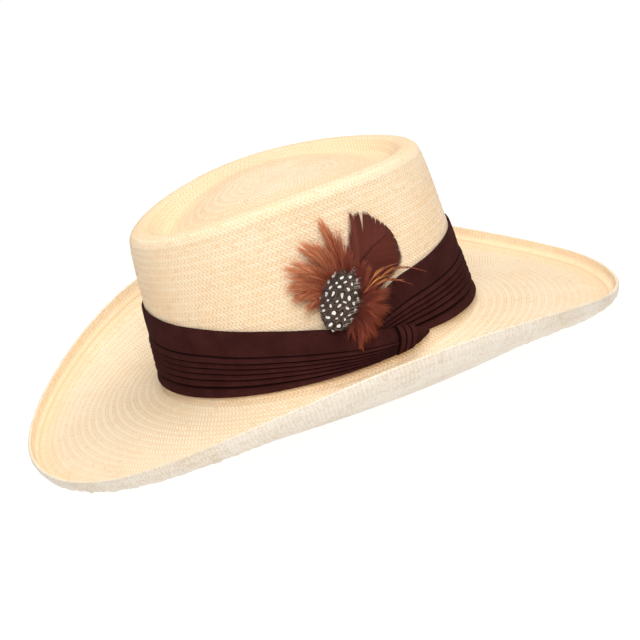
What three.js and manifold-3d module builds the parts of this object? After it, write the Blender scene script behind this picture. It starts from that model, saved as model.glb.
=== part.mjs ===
// A woven straw gambler hat: telescope crown, wide brim with a rolled edge, a pleated cloth band
// lapped over itself on the wearer's left and held by a small wrap, and a trim of feathers.
// Millimetres, +Z up. The hat stands on z = 0 by the front and back of its brim, the front faces -Y
// and the wearer's left is +X. The origin is under the middle of the hat.

import * as THREE from 'three';
import Module from 'manifold-3d';
import { mergeVertices } from 'three/addons/utils/BufferGeometryUtils.js';

const wasm = await Module();
wasm.setup();

// ---- driving dimensions --------------------------------------------------------------------

const straw = {
  wall: 1.6,          // thickness of the woven wall
  meridians: 60,      // steps round the hat
  sweep: 2.47,        // how late the sides of the brim rise: heights blend by |sin|^sweep
  halvings: 24,       // steps in the search for a height on the crown's wall
};

// The outer face, one row for each station from the middle of the tip to the rim. side, front and
// back are half widths, up* are heights above the floor, steps is the number of facets to the next.
const stations = Object.entries({
  tipCentre: { side: 0, front: 0, back: 0, upSide: 127.5, upFront: 127.5, upBack: 127.5, steps: 1 },
  tipMiddle: { side: 28, front: 40, back: 36, upSide: 127.6, upFront: 123.5, upBack: 124.5, steps: 2 },
  moat: { side: 47, front: 75.5, back: 69.3, upSide: 126.2, upFront: 111.5, upBack: 117.8, steps: 1 },
  innerWall: { side: 51, front: 80.5, back: 73.5, upSide: 127.6, upFront: 114.5, upBack: 120.2, steps: 1 },
  ridge: { side: 56.7, front: 87, back: 79.8, upSide: 129.7, upFront: 120.7, upBack: 124.7, steps: 1 },
  ridgeOuter: { side: 62.2, front: 93, back: 85.3, upSide: 129, upFront: 120.2, upBack: 124.2, steps: 1 },
  crease: { side: 66.2, front: 96.8, back: 89.2, upSide: 126.3, upFront: 117.3, upBack: 121.7, steps: 1 },
  shoulder: { side: 67.9, front: 98.5, back: 92, upSide: 116.2, upFront: 110.2, upBack: 112.2, steps: 3 },
  bandFoot: { side: 87.7, front: 101.6, back: 101.4, upSide: 25, upFront: 24.6, upBack: 24.9, steps: 1 },
  crownFoot: { side: 89.7, front: 103, back: 103, upSide: 20.8, upFront: 20.1, upBack: 20.9, steps: 1 },
  brimBreak: { side: 94.7, front: 108, back: 108, upSide: 19.3, upFront: 17.5, upBack: 18.5, steps: 1 },
  brimInner: { side: 109.6, front: 124.4, back: 123.1, upSide: 17, upFront: 15.2, upBack: 15.8, steps: 2 },
  brimMiddle: { side: 137.3, front: 153.7, back: 150.9, upSide: 22.3, upFront: 9, upBack: 9.8, steps: 2 },
  brimOuter: { side: 158.7, front: 175.8, back: 172.1, upSide: 35.1, upFront: 3.4, upBack: 3.5, steps: 1 },
  bearing: { side: 166.1, front: 182.3, back: 179, upSide: 40.2, upFront: 1.3, upBack: 1.3, steps: 1 },
  fold: { side: 170.3, front: 186.2, back: 183, upSide: 43.4, upFront: 1.3, upBack: 1.3, steps: 1 },
  curl: { side: 173.3, front: 189.6, back: 188.6, upSide: 48.2, upFront: 3.6, upBack: 3, steps: 1 },
  rim: { side: 174, front: 191, back: 191, upSide: 54.6, upFront: 8.2, upBack: 7.6, steps: 0 },
}).map(([name, row]) => ({ name, ...row }));

// The share by which a station's oval is drawn in between its four ends, none on the crown.
const drawnIn = { brimMiddle: 0.005, brimOuter: 0.01, bearing: 0.012, fold: 0.012, curl: 0.012, rim: 0.012 };

const gap = 0.3;          // clearance between neighbouring pieces
const mergeWithin = 1e-4; // points nearer than this are one

const band = {
  cloth: 1.3,         // thickness of the gathered cloth
  pleat: 0.7,         // how far the lower edge of a pleat stands out
  lip: 0.02,          // share of the width taken by the step under a pleat
  lift: 2.6,          // how far the lapping end stands off what it covers
  liftFrom: 424,      // where along the winding the end starts to lift, in degrees
  liftTo: 446,
  backShares: [1, 0.66, 0.33, 0], // where its flat inner face has points, foot to top
};

// The band is one strip wound round the crown. angle runs from under the lap on the wearer's left,
// past the back, the right side and the front, and on over its own beginning. top and foot are the
// heights of its edges, gather is 0 where the pleats are spread and 1 where they are drawn together.
const bandRun = [
  { angle: 90,  top: 44,   foot: 37,   gather: 1 },
  { angle: 96,  top: 55.4, foot: 35.4, gather: 0.7 },
  { angle: 102, top: 61.6, foot: 33.4, gather: 0.45 },
  { angle: 111, top: 66.2, foot: 30.8, gather: 0.2 },
  { angle: 126, top: 67.5, foot: 27.6, gather: 0 },
  { angle: 144, top: 69.4, foot: 25.4, gather: 0 },
  { angle: 180, top: 72,   foot: 25.2, gather: 0 },
  { angle: 270, top: 70,   foot: 25.2, gather: 0 },
  { angle: 360, top: 74.6, foot: 25.2, gather: 0 },
  { angle: 396, top: 67.2, foot: 25.2, gather: 0 },
  { angle: 420, top: 60.4, foot: 25.2, gather: 0.25 },
  { angle: 438, top: 53.8, foot: 25.3, gather: 0.6 },
  { angle: 450, top: 47,   foot: 25.4, gather: 0.9 },
  { angle: 462, top: 39.6, foot: 25.6, gather: 1 },
  { angle: 468, top: 37.4, foot: 25.7, gather: 0.8 },
  { angle: 474, top: 31.4, foot: 29.4, gather: 0.8 },
];

// Where each pleat's lower edge lies, as a share of the width below the top edge.
const pleats = [
  { spread: 0.38, drawn: 0.56 },
  { spread: 0.48, drawn: 0.67 },
  { spread: 0.56, drawn: 0.75 },
  { spread: 0.64, drawn: 0.82 },
  { spread: 0.73, drawn: 0.88 },
  { spread: 0.83, drawn: 0.94 },
];

// The wrap that holds the lapping end, ribbed along its height.
const keeper = {
  from: 459,          // its edges along the winding, in degrees
  to: 467,
  cloth: 1.2,
  ribs: 3,
  ribDepth: 0.7,
  overTop: 1.2,       // how far it stands past the edges of the band
  overFoot: 0.9,
  steps: 4,           // facets of a rib
};

// The feathers lie on the crown in a patch of their own: across runs along the crown towards the
// back from the middle of the wearer's left, up is the height above the floor, off is the distance
// outwards from the straw.
const patch = { middle: 90, perDegree: 1.68 };

const backing = { across: -3, up: 65, wide: 7.5, tall: 11, from: 2, to: 6.4, sides: 12 };

const broad = {
  root: { across: 2, up: 66 },
  off: gap,
  lift: 3.2,          // how far it has risen at the distance liftAt from its root
  liftAt: 50,
  thick: 1.1,
  edgeShare: 0.5,     // thickness left at the edge
  rings: 4,
  hub: 0.15,          // where the first ring lies, as a share of a ring's width
};

// Tips and splits of the broad feather, round its root.
const broadEdge = [
  { angle: 104, reach: 12 },
  { angle: 86,  reach: 24 },
  { angle: 79,  reach: 38 },
  { angle: 75,  reach: 50 },
  { angle: 71,  reach: 46 },
  { angle: 68,  reach: 49.5 },
  { angle: 62,  reach: 38 },
  { angle: 60,  reach: 49 },
  { angle: 51,  reach: 48.5 },
  { angle: 48,  reach: 43 },
  { angle: 46,  reach: 48 },
  { angle: 41,  reach: 47.5 },
  { angle: 38,  reach: 44 },
  { angle: 31,  reach: 45 },
  { angle: 19,  reach: 41.5 },
  { angle: 10,  reach: 37.5 },
  { angle: 4,   reach: 26 },
  { angle: -10, reach: 12 },
];

// Locks of the soft hackles, fused to the backing: where each tip lies, how wide the lock is,
// how far it bows sideways and how far its tip stands off the crown.
const hackles = [
  { across: 3, up: 104, wide: 8, bow: 3, off: 6.6 },
  { across: -3, up: 113, wide: 9, bow: 4, off: 6.8 },
  { across: -10, up: 107, wide: 8, bow: 4, off: 7.4 },
  { across: -16, up: 102, wide: 9, bow: 4, off: 6.4 },
  { across: -22, up: 99, wide: 9, bow: 4, off: 7.6 },
  { across: -28, up: 96, wide: 10, bow: 4, off: 6.6 },
  { across: -34, up: 86, wide: 11, bow: 3, off: 7.2 },
  { across: -31, up: 76, wide: 11, bow: 2, off: 6.2 },
  { across: -21, up: 68, wide: 10, bow: 0, off: 6.6 },
  { across: 13, up: 86, wide: 9, bow: -2, off: 5.8 },
  { across: 21, up: 74, wide: 10, bow: -2, off: 5.9 },
  { across: 24, up: 62, wide: 12, bow: -2, off: 5.9 },
  { across: 17, up: 48, wide: 13, bow: -2, off: 5.9 },
  { across: 6, up: 40, wide: 12, bow: 2, off: 5.9 },
  { across: -4, up: 34, wide: 10, bow: 2, off: 6.2 },
  { across: -11, up: 43, wide: 8, bow: 2, off: 6 },
];
const hackleLock = { thick: 1.2, steps: 4, rootShare: 0.35 };

// Form of every blade: how early it is widest, its least half width, and how late it rises.
const bladeForm = { fullness: 0.7, leastHalf: 0.06, rise: 1.5 };

// Long slim hackles that reach back over the band, from one root.
const saddle = { across: 7, up: 66, off: 7.1, thick: 0.8, steps: 5, rootShare: 0.6 };
const saddleTips = [
  { across: 34, up: 74, wide: 3.2, bow: 4, off: 7.8 },
  { across: 51, up: 62, wide: 3, bow: 9, off: 7.6 },
  { across: 37, up: 60, wide: 3, bow: 5, off: 7.6 },
];

// The spotted guinea feather on top: an oval blade from its lower root to its upper tip.
const guinea = {
  root: { across: -13, up: 51 }, tip: { across: 4.5, up: 81 },
  wide: 17, thick: 1.3, off: 7.1, steps: 7,
  arch: 1.6,          // how far its middle stands above its sides
  fullness: 0.6,      // the outline is sin(pi t)^fullness wide
  leastShare: 0.12,
};

const finishes = {
  straw: { color: '#ecd3a0', roughness: 0.8 },
  cloth: { color: '#3b1d1e', roughness: 0.9 },
  broad: { color: '#56281f', roughness: 0.6 },
  hackle: { color: '#7d3a26', roughness: 0.7 },
  saddle: { color: '#a24c1d', roughness: 0.6 },
  guinea: { color: '#4a4642', roughness: 0.6 },
};

// ---- helpers -------------------------------------------------------------------------------

const degrees = THREE.MathUtils.degToRad;

// Value of a table's column at x, straight between rows sorted by key.
function tableValue(rows, key, column, x) {
  const after = rows.findIndex((row) => row[key] >= x);
  if (after === 0) return rows[0][column];
  if (after < 0) return rows[rows.length - 1][column];
  const [a, b] = [rows[after - 1], rows[after]];
  return THREE.MathUtils.mapLinear(x, a[key], b[key], a[column], b[column]);
}

// A closed body through sections, which are rings of points with one count. A looped row of
// sections joins its last to its first. An open one is capped: there a ring is a front row of
// `split` points and a back row that returns, and the cap laces the one to the other.
function bodyFromSections(sections, split) {
  const count = sections[0].length;
  const spans = split ? sections.length - 1 : sections.length;
  const positions = sections.flat().flatMap((p) => [p.x, p.y, p.z]);
  const index = [];
  for (let i = 0; i < spans; i++) {
    const here = i * count;
    const next = ((i + 1) % sections.length) * count;
    for (let j = 0; j < count; j++) {
      const k = (j + 1) % count;
      index.push(here + j, next + j, next + k, here + j, next + k, here + k);
    }
  }
  if (split) {
    const last = (sections.length - 1) * count;
    for (const [a, b, c] of laceFaces(count, split)) index.push(a, b, c, last + a, last + c, last + b);
  }
  return tidyGeometry(positions, index);
}

// Triangles that lace points 0 .. split - 1 of a ring to the points that return behind them.
function laceFaces(count, split) {
  const faces = [];
  let front = 0;
  let back = count - 1;
  while (front < split - 1 || back > split) {
    const frontShare = (front + 1) / (split - 1);
    const backShare = (count - back) / (count - 1 - split);
    if (back === split || (front < split - 1 && frontShare <= backShare)) {
      faces.push([front, front + 1, back]);
      front += 1;
    } else {
      faces.push([front, back - 1, back]);
      back -= 1;
    }
  }
  return faces;
}

// Merges equal points, drops collapsed triangles and turns the faces outwards.
function tidyGeometry(positions, index) {
  const raw = new THREE.BufferGeometry();
  raw.setAttribute('position', new THREE.Float32BufferAttribute(positions, 3));
  raw.setIndex(index);
  const geometry = mergeVertices(raw, mergeWithin);
  const at = geometry.index.array;
  const kept = [];
  for (let i = 0; i < at.length; i += 3) {
    const [a, b, c] = [at[i], at[i + 1], at[i + 2]];
    if (a !== b && b !== c && c !== a) kept.push(a, b, c);
  }
  if (signedVolume(geometry, kept) < 0) kept.reverse();
  geometry.setIndex(kept);
  return geometry;
}

function signedVolume(geometry, index) {
  const points = geometry.attributes.position;
  const [a, b, c] = [new THREE.Vector3(), new THREE.Vector3(), new THREE.Vector3()];
  let volume = 0;
  for (let i = 0; i < index.length; i += 3) {
    a.fromBufferAttribute(points, index[i]);
    b.fromBufferAttribute(points, index[i + 1]);
    c.fromBufferAttribute(points, index[i + 2]);
    volume += a.dot(b.cross(c)) / 6;
  }
  return volume;
}

function manifoldOf(geometry) {
  const vertProperties = new Float32Array(geometry.attributes.position.array);
  const triVerts = new Uint32Array(geometry.index.array);
  return new wasm.Manifold(new wasm.Mesh({ numProp: 3, vertProperties, triVerts }));
}

// Joins closed bodies that pass through each other into one.
function fuse(geometries) {
  const joined = geometries.map(manifoldOf).reduce((whole, piece) => whole.add(piece));
  const mesh = joined.getMesh();
  const geometry = new THREE.BufferGeometry();
  geometry.setAttribute('position', new THREE.Float32BufferAttribute(mesh.vertProperties, 3));
  geometry.setIndex([...mesh.triVerts]);
  return geometry;
}

// ---- the straw shell -----------------------------------------------------------------------

const bent = new Map();

// The curve through the stations at one angle round the hat, measured from the front.
function meridian(angle) {
  const turn = ((angle % 360) + 360) % 360;
  if (!bent.has(turn)) {
    const [s, c] = [Math.sin(degrees(turn)), Math.cos(degrees(turn))];
    const rise = Math.abs(s) ** straw.sweep;
    const points = stations.map((row) => {
      const reach = c > 0 ? row.front : row.back;
      const low = c > 0 ? row.upFront : row.upBack;
      const drawn = 1 - (drawnIn[row.name] ?? 0) * (2 * s * c) ** 2;
      const height = row.upSide * rise + low * (1 - rise);
      return new THREE.Vector3(row.side * s * drawn, -reach * c * drawn, height);
    });
    bent.set(turn, new THREE.CatmullRomCurve3(points, false, 'centripetal'));
  }
  return bent.get(turn);
}

// Outward unit normal of the outer face at an angle and a place along the meridian.
function strawNormal(angle, place) {
  const [dAngle, dPlace] = [0.5, 0.002];
  const round = meridian(angle + dAngle).getPoint(place).sub(meridian(angle - dAngle).getPoint(place));
  const a = meridian(angle).getPoint(Math.max(place - dPlace, 0));
  const along = meridian(angle).getPoint(Math.min(place + dPlace, 1)).sub(a);
  const normal = along.cross(round);
  return place === 0 ? new THREE.Vector3(0, 0, 1) : normal.normalize();
}

// Places along a meridian where the shell has its rings.
function ringPlaces() {
  const spans = stations.length - 1;
  const places = [];
  stations.forEach((row, i) => {
    for (let k = 0; k < row.steps; k++) places.push((i + k / row.steps) / spans);
  });
  return [...places, 1];
}

function strawBody() {
  const places = ringPlaces();
  const sections = [];
  for (let m = 0; m < straw.meridians; m++) {
    const angle = (360 * m) / straw.meridians;
    const outer = places.map((place) => meridian(angle).getPoint(place));
    const inner = places.map((place, i) => {
      const point = outer[i].clone().addScaledVector(strawNormal(angle, place), -straw.wall);
      point.z = Math.max(point.z, 0);
      return point;
    });
    sections.push([...outer, ...inner.reverse()]);
  }
  return bodyFromSections(sections);
}

// The place along the meridian where the crown's wall has a height, found by halving.
function placeAtHeight(angle, height) {
  const spans = stations.length - 1;
  let high = stations.findIndex((row) => row.name === 'crease') / spans;
  let low = stations.findIndex((row) => row.name === 'brimBreak') / spans;
  for (let i = 0; i < straw.halvings; i++) {
    const middle = (high + low) / 2;
    if (meridian(angle).getPoint(middle).z > height) high = middle;
    else low = middle;
  }
  return (high + low) / 2;
}

// A point off the crown's wall at an angle, a height and a distance outwards.
function onCrown(angle, height, off) {
  const place = placeAtHeight(angle, height);
  return meridian(angle).getPoint(place).addScaledVector(strawNormal(angle, place), off);
}

// ---- the band and its wrap -----------------------------------------------------------------

// Outline of the band across its width: share is 0 at the top edge and 1 at the foot, out is the
// distance from its inner face. Each pleat swells to its lower edge and steps in under it.
function bandProfile(gather) {
  const edges = pleats.map((row) => THREE.MathUtils.lerp(row.spread, row.drawn, gather));
  const face = [{ share: 0, out: band.cloth }];
  for (const edge of edges) {
    face.push({ share: edge, out: band.cloth + band.pleat });
    face.push({ share: edge + band.lip, out: band.cloth });
  }
  face.push({ share: 1, out: band.cloth + band.pleat });
  const back = band.backShares.map((share) => ({ share, out: 0 }));
  return { face, back };
}

function bandLift(angle) {
  return band.lift * THREE.MathUtils.smoothstep(angle, band.liftFrom, band.liftTo);
}

function bandSection(angle) {
  const top = tableValue(bandRun, 'angle', 'top', angle);
  const foot = tableValue(bandRun, 'angle', 'foot', angle);
  const { face, back } = bandProfile(tableValue(bandRun, 'angle', 'gather', angle));
  const inner = gap + bandLift(angle);
  return [...face, ...back].map((p) => onCrown(angle, top + (foot - top) * p.share, inner + p.out));
}

function pleatedBand() {
  const step = 360 / straw.meridians;
  const [first, last] = [bandRun[0].angle, bandRun[bandRun.length - 1].angle];
  const sections = [];
  for (let angle = first; angle <= last; angle += step) sections.push(bandSection(angle));
  return bodyFromSections(sections, bandProfile(0).face.length);
}

// The wrap goes from the crown over the strip's top edge, down its face and under its foot. Its
// ribs run with it, so the section across them is a row of shallow arches.
function bandKeeper() {
  const sections = [];
  const across = keeper.ribs * keeper.steps;
  const cover = gap + band.cloth + band.pleat;
  let innerPoints = 0;
  for (let i = 0; i <= across; i++) {
    const angle = THREE.MathUtils.lerp(keeper.from, keeper.to, i / across);
    const rib = keeper.ribDepth * Math.abs(Math.sin((Math.PI * keeper.ribs * i) / across));
    const lift = gap + bandLift(angle);
    const inner = [
      { up: tableValue(bandRun, 'angle', 'top', angle) + gap, off: lift },
      { up: tableValue(bandRun, 'angle', 'top', angle) + gap, off: lift + cover },
      { up: tableValue(bandRun, 'angle', 'foot', angle) - gap, off: lift + cover },
      { up: tableValue(bandRun, 'angle', 'foot', angle) - gap, off: lift },
    ];
    const outer = [
      { up: inner[3].up - keeper.overFoot, off: lift },
      { up: inner[3].up - keeper.overFoot, off: lift + cover + 0.5 * keeper.cloth },
      { up: inner[3].up + keeper.overFoot, off: lift + cover + keeper.cloth + rib },
      { up: (inner[0].up + inner[3].up) / 2, off: lift + cover + keeper.cloth + rib },
      { up: inner[0].up - keeper.overTop, off: lift + cover + keeper.cloth + rib },
      { up: inner[0].up + keeper.overTop, off: lift + cover + 0.5 * keeper.cloth },
      { up: inner[0].up + keeper.overTop, off: lift },
    ];
    innerPoints = inner.length;
    sections.push([...inner, ...outer].map((p) => onCrown(angle, p.up, p.off)));
  }
  return bodyFromSections(sections, innerPoints);
}

// ---- the feathers --------------------------------------------------------------------------

function onPatch(across, up, off) {
  return onCrown(patch.middle + across / patch.perDegree, up, off);
}

// A blade from a root to a tip in the patch: its middle line bows sideways, its width swells and
// then closes to a point, and it rises from one distance off the crown to another.
function blade(root, tip, wide, bow, thick, steps, rootShare) {
  const line = new THREE.Vector2(tip.across - root.across, tip.up - root.up);
  const side = new THREE.Vector2(-line.y, line.x).normalize();
  const sections = [];
  for (let i = 0; i <= steps; i++) {
    const t = i / steps;
    const sway = bow * Math.sin(Math.PI * t);
    const swell = THREE.MathUtils.lerp(rootShare, 1, Math.sin(Math.PI * t ** bladeForm.fullness));
    const half = (wide / 2) * Math.max(Math.sqrt(1 - t ** 2) * swell, bladeForm.leastHalf);
    const off = THREE.MathUtils.lerp(root.off, tip.off, t ** bladeForm.rise);
    const under = [[-half, 0], [half, 0]];
    const upper = [[half, thick], [-half, thick]];
    sections.push([...under, ...upper].map(([s, o]) => onPatch(
      root.across + line.x * t + side.x * (sway + s), root.up + line.y * t + side.y * (sway + s), off + o)));
  }
  return bodyFromSections(sections, sections[0].length / 2);
}

// The oval pad glued to the crown that carries the feathers.
function backingPad() {
  const rings = [backing.from, (backing.from + backing.to) / 2, backing.to].map((off) => {
    const ring = [];
    for (let i = 0; i < backing.sides; i++) {
      const turn = (2 * Math.PI * i) / backing.sides;
      const across = backing.across + backing.wide * Math.cos(turn);
      ring.push(onPatch(across, backing.up + backing.tall * Math.sin(turn), off));
    }
    return ring;
  });
  return bodyFromSections(rings, backing.sides / 2);
}

function hacklePlume() {
  const root = { across: backing.across, up: backing.up, off: backing.to - hackleLock.thick };
  const locks = hackles.map((tip) => blade(
    root, tip, tip.wide, tip.bow, hackleLock.thick, hackleLock.steps, hackleLock.rootShare));
  return fuse([backingPad(), ...locks]);
}

function saddleHackles() {
  return fuse(saddleTips.map((tip) => blade(
    saddle, tip, tip.wide, tip.bow, saddle.thick, saddle.steps, saddle.rootShare)));
}

// The broad feather is a fan of radial sections round its root, lifting towards its edge.
function broadFeather() {
  const sections = broadEdge.map(({ angle, reach }) => {
    const [dx, dy] = [Math.cos(degrees(angle)), Math.sin(degrees(angle))];
    const upper = [];
    const lower = [];
    for (let i = 0; i <= broad.rings; i++) {
      const r = (reach * (i + broad.hub)) / (broad.rings + broad.hub);
      const off = broad.off + broad.lift * (r / broad.liftAt) ** 2;
      const thick = i === broad.rings ? broad.thick * broad.edgeShare : broad.thick;
      upper.push(onPatch(broad.root.across + dx * r, broad.root.up + dy * r, off + thick));
      lower.push(onPatch(broad.root.across + dx * r, broad.root.up + dy * r, off));
    }
    return [...upper, ...lower.reverse()];
  });
  return bodyFromSections(sections, broad.rings + 1);
}

// The guinea feather is an oval blade, arched across its width.
function guineaFeather() {
  const { root, tip } = guinea;
  const line = new THREE.Vector2(tip.across - root.across, tip.up - root.up);
  const side = new THREE.Vector2(-line.y, line.x).normalize();
  const sections = [];
  for (let i = 0; i <= guinea.steps; i++) {
    const t = i / guinea.steps;
    const half = (guinea.wide / 2) * Math.max(Math.sin(Math.PI * t) ** guinea.fullness, guinea.leastShare);
    const under = [[-half, 0], [0, guinea.arch], [half, 0]];
    const upper = under.map(([s, o]) => [s, o + guinea.thick]);
    sections.push([...upper, ...under.reverse()].map(([s, o]) => onPatch(
      root.across + line.x * t + side.x * s, root.up + line.y * t + side.y * s, guinea.off + o)));
  }
  return bodyFromSections(sections, sections[0].length / 2);
}

// ---- the hat -------------------------------------------------------------------------------

const hat = new THREE.Group();

function addPiece(name, geometry, finish) {
  geometry.computeVertexNormals();
  const mesh = new THREE.Mesh(geometry, new THREE.MeshStandardMaterial({ ...finish, metalness: 0 }));
  mesh.name = name;
  hat.add(mesh);
}

addPiece('straw_body', strawBody(), finishes.straw);
addPiece('pleated_band', pleatedBand(), finishes.cloth);
addPiece('band_keeper', bandKeeper(), finishes.cloth);
addPiece('broad_feather', broadFeather(), finishes.broad);
addPiece('hackle_plume', hacklePlume(), finishes.hackle);
addPiece('saddle_hackles', saddleHackles(), finishes.saddle);
addPiece('guinea_feather', guineaFeather(), finishes.guinea);

export default hat;
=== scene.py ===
# A woven straw gambler hat with a pleated cloth band and a trim of feathers.
# Pieces are worked out in millimetres and put into the scene in metres. +Z is up, the front of the
# hat faces -Y and the wearer's left is +X. A turn is an angle round the hat from its front, in
# degrees: 90 is the wearer's left and 180 the back.

import math
from functools import partial

import bpy
import numpy as np
from mathutils import Matrix, Vector


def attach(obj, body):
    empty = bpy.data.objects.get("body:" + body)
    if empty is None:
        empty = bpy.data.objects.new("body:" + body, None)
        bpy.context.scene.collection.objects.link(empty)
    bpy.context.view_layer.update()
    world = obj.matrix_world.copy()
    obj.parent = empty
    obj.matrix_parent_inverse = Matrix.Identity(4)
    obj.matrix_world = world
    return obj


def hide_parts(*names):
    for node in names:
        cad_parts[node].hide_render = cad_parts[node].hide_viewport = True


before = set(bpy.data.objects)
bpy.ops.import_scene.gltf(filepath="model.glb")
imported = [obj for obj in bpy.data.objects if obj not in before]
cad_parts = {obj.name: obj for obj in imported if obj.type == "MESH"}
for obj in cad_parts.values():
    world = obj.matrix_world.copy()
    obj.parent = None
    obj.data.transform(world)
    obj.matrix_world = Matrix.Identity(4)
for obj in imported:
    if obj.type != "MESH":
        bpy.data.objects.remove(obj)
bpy.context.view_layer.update()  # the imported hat: bodies, nodes, joints and record
scene = bpy.context.scene
metresPerMm = 0.001
join = np.concatenate
draw = np.random.default_rng(20)
print("frame loaded:", ", ".join(sorted(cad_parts)))


# Making meshes.

def buildMesh(name, points, faceSets, uvMaps=None, attributes=None):
    # points are in mm, each face set is rows of point numbers with one count of corners, and a uv
    # has a row for each point or for each corner
    mesh = bpy.data.meshes.new(name)
    points = points.reshape(-1, 3)
    corners = join([faces.ravel() for faces in faceSets])
    sides = join([np.full(len(faces), faces.shape[1]) for faces in faceSets])
    starts = join([[0], np.cumsum(sides)[:-1]])
    mesh.vertices.add(len(points))
    mesh.vertices.foreach_set("co", (points * metresPerMm).astype(np.float32).ravel())
    mesh.loops.add(len(corners))
    mesh.loops.foreach_set("vertex_index", corners.astype(np.int32))
    mesh.polygons.add(len(sides))
    mesh.polygons.foreach_set("loop_start", starts.astype(np.int32))
    mesh.polygons.foreach_set("use_smooth", np.ones(len(sides), bool))
    mesh.update(calc_edges=True)
    for label, uv in (uvMaps or {}).items():
        uv = uv.reshape(-1, 2)
        uv = uv[corners] if len(uv) == len(points) else uv
        mesh.uv_layers.new(name=label).data.foreach_set("uv", uv.astype(np.float32).ravel())
    for label, values in (attributes or {}).items():
        layer = mesh.attributes.new(label, "FLOAT", "POINT")
        layer.data.foreach_set("value", values.astype(np.float32).ravel())
    mesh.validate()
    piece = bpy.data.objects.new(name, mesh)
    scene.collection.objects.link(piece)
    return piece


def dress(piece, material, slotName, *cadNodes):
    # gives a piece its finish and puts it in the place of the CAD nodes that it stands for
    piece.data.materials.append(material)
    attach(piece, "root")
    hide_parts(*cadNodes)
    print(f"{piece.name}: {len(piece.data.polygons)} faces")


def numbered(grid):
    # the point numbers of a grid of points, row after row
    return np.arange(grid.shape[0] * grid.shape[1]).reshape(grid.shape[:2])


def gridQuads(numbers, closeRows=False, closeColumns=False):
    # quads of a grid of point numbers; they face along (down the rows) x (along a row)
    if closeRows:
        numbers = join([numbers, numbers[:1]], 0)
    if closeColumns:
        numbers = join([numbers, numbers[:, :1]], 1)
    ring = [numbers[:-1, :-1], numbers[1:, :-1], numbers[1:, 1:], numbers[:-1, 1:]]
    return np.stack(ring, -1).reshape(-1, 4)


def smoothStep(low, high, x):
    t = np.clip((x - low) / (high - low), 0, 1)
    return t * t * (3 - 2 * t)


def lengthOf(vectors):
    return np.linalg.norm(vectors, axis=-1)


def unit(vectors):
    return vectors / np.maximum(lengthOf(vectors)[..., None], 1e-9)


# Making shaders.

def joinTo(value, socket):
    if isinstance(value, bpy.types.NodeSocket):
        socket.id_data.links.new(value, socket)
    else:
        socket.default_value = value


def fill(node, values):
    # joins or sets a node's sockets by their names
    for label, value in values.items():
        joinTo(value, node.inputs[label])
    return node


def addNode(tree, kind, *values, **settings):
    # a node with its settings, and its first sockets joined or set to the values
    node = tree.nodes.new(f"ShaderNode{kind}")
    for label, setting in settings.items():
        setattr(node, label, setting)
    for value, socket in zip(values, node.inputs):
        joinTo(value, socket)
    return node


def mathNode(tree, operation, *values):
    return addNode(tree, "Math", *values, operation=operation).outputs[0]


def sums(tree):
    # short names for the sums used most in a tree: a x b, a x b + c and a - b
    return (partial(mathNode, tree, operation) for operation in ("MULTIPLY", "MULTIPLY_ADD", "SUBTRACT"))


def vectorMath(tree, operation, *values):
    node = addNode(tree, "VectorMath", *values, operation=operation)
    return node.outputs["Value" if operation == "LENGTH" else "Vector"]


def mixNode(tree, share, first, second):
    node = addNode(tree, "Mix", share, data_type="RGBA")
    joinTo(first, node.inputs[6])
    joinTo(second, node.inputs[7])
    return node.outputs[2]


def rangeNode(tree, value, low, high, toLow=0.0, toHigh=1.0):
    node = addNode(tree, "MapRange", value, low, high, toLow, toHigh, interpolation_type="SMOOTHSTEP")
    return node.outputs[0]


def noiseNode(tree, vector, scale, detail=2.0, output="Fac"):
    values = {"Vector": vector, "Scale": scale, "Detail": detail}
    return fill(addNode(tree, "TexNoise"), values).outputs[output]


def attributeNode(tree, name):
    return addNode(tree, "Attribute", attribute_name=name).outputs["Fac"]


def uvNode(tree, name):
    return addNode(tree, "UVMap", uv_map=name).outputs[0]


def objectCoordinates(tree):
    return addNode(tree, "TexCoord").outputs["Object"]


def bumpTo(tree, shader, height, distance):
    node = fill(addNode(tree, "Bump"), {"Distance": distance * metresPerMm, "Height": height})
    fill(shader, {"Normal": node.outputs[0]})


def newGroup(name, inputs, outputs):
    # a shader group whose sockets are given as kind: names, with its inputs and its output node
    tree = bpy.data.node_groups.new(name, "ShaderNodeTree")
    for way, sockets in (("INPUT", inputs), ("OUTPUT", outputs)):
        for kind, labels in sockets.items():
            for label in labels:
                tree.interface.new_socket(label, in_out=way, socket_type=f"NodeSocket{kind}")
    return tree, tree.nodes.new("NodeGroupInput").outputs, tree.nodes.new("NodeGroupOutput")


def placeGroup(tree, group, values):
    return fill(addNode(tree, "Group", node_tree=group), values).outputs


def newMaterial(name, constants):
    # a Principled material with constants on its own sockets; returns it, its tree and the shader
    material = bpy.data.materials.new(name)
    material.use_nodes = True
    tree = material.node_tree
    return material, tree, fill(tree.nodes["Principled BSDF"], constants)


def rgb(red, green, blue):
    # a display colour, 0 to 255, as the linear colour that shaders take
    values = np.array([red, green, blue]) / 255
    linear = np.where(values <= 0.04045, values / 12.92, ((values + 0.055) / 1.055) ** 2.4)
    return (*linear.tolist(), 1.0)


# The form of the straw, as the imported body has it.

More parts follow.
